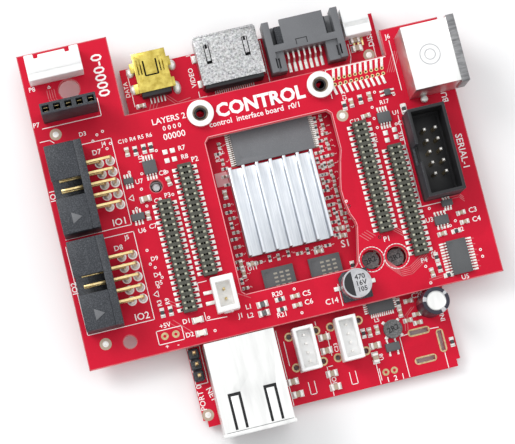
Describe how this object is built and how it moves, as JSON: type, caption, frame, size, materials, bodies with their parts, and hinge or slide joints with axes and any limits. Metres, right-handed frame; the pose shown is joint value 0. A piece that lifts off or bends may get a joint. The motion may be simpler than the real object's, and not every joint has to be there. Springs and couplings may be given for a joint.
{
  "type": "single board computer",
  "caption": "Single board computer with a plug-on interface board: finned heatsink in a window, edge connectors, box headers, white sockets and a push button.",
  "frame": {"origin": "centre of the main board's underside", "axes": "+Z out of the component side, +Y along the main board's long side towards the display and storage connectors, +X along its short side towards the flat-plug socket"},
  "size_m": [0.0973, 0.0949, 0.0174],
  "materials": {
    "board_red": "satin crimson solder mask over glass-fibre laminate",
    "chip_black": "matt moulded epoxy",
    "pad_grey": "soft grey thermal pad",
    "heatsink_aluminium": "clear anodised, extruded",
    "shell_gold": "gold-plated pressed shell",
    "shell_tin": "bright tin or nickel plate",
    "plastic_black": "moulded black thermoplastic",
    "plastic_grey": "moulded grey thermoplastic",
    "plastic_white": "moulded natural white nylon",
    "plastic_olive": "moulded olive-grey thermoplastic",
    "ferrite_grey": "unglazed sintered ferrite",
    "can_aluminium": "bare drawn can"
  },
  "bodies": {
    "main_board": {"battery_socket_housing": "plastic_white", "battery_socket_pins": "plastic_white", "button_body": "shell_tin", "debug_header": "plastic_black", "drive_socket_housing": "plastic_grey", "drive_socket_tongue": "plastic_black", "flash_chip": "chip_black", "heatsink": "heatsink_aluminium", "host_socket_left_housing": "plastic_white", "host_socket_left_pins": "plastic_white", "host_socket_right_housing": "plastic_white", "host_socket_right_pins": "plastic_white", "inductor_left": "ferrite_grey", "inductor_power": "ferrite_grey", "inductor_right": "ferrite_grey", "main_board_pcb": "board_red", "memory_chip_left": "chip_black", "memory_chip_right": "chip_black", "network_chip": "chip_black", "power_chip": "chip_black", "processor_chip": "chip_black", "small_socket_insert": "plastic_black", "small_socket_shell": "shell_gold", "stacking_header_1": "plastic_black", "stacking_header_2": "plastic_black", "stacking_header_3": "plastic_black", "stacking_header_4": "plastic_black", "tall_capacitor": "can_aluminium", "tall_jack_insert": "plastic_black", "tall_jack_shell": "shell_tin", "thermal_pad": "pad_grey", "wide_socket_insert": "plastic_black", "wide_socket_shell": "shell_tin"},
    "interface_board": {"interface_board_pcb": "board_red", "socket_strip_1": "plastic_olive", "socket_strip_2": "plastic_olive", "socket_strip_3": "plastic_olive", "socket_strip_4": "plastic_olive", "raised_socket_shell": "shell_tin", "raised_socket_insert": "plastic_white", "serial_header_shroud": "plastic_black", "serial_header_pins": "plastic_black", "display_header_shroud": "plastic_black", "display_header_pins": "plastic_black", "storage_header_shroud": "plastic_black", "storage_header_pins": "plastic_black", "fan_socket_housing": "plastic_white", "fan_socket_pins": "plastic_white", "five_way_socket": "plastic_black", "signal_socket": "plastic_white", "filter_capacitor_base": "plastic_black", "filter_capacitor_can": "can_aluminium", "standoff_left": "shell_tin", "standoff_right": "shell_tin", "serial_chip": "chip_black", "logic_chip_left": "chip_black", "logic_chip_right": "chip_black"},
    "push_button": {"button_plunger": "plastic_black"}
  },
  "joints": [
    {"name": "interface_unplug", "type": "slide", "parent": "main_board", "child": "interface_board", "axis": [0, 0, 1], "range_m": [0, 0.01]},
    {"name": "button_press", "type": "slide", "parent": "main_board", "child": "push_button", "axis": [0, 0, -1], "range_m": [0, 0.00025], "stiffness_N_per_m": 2000}
  ]
}
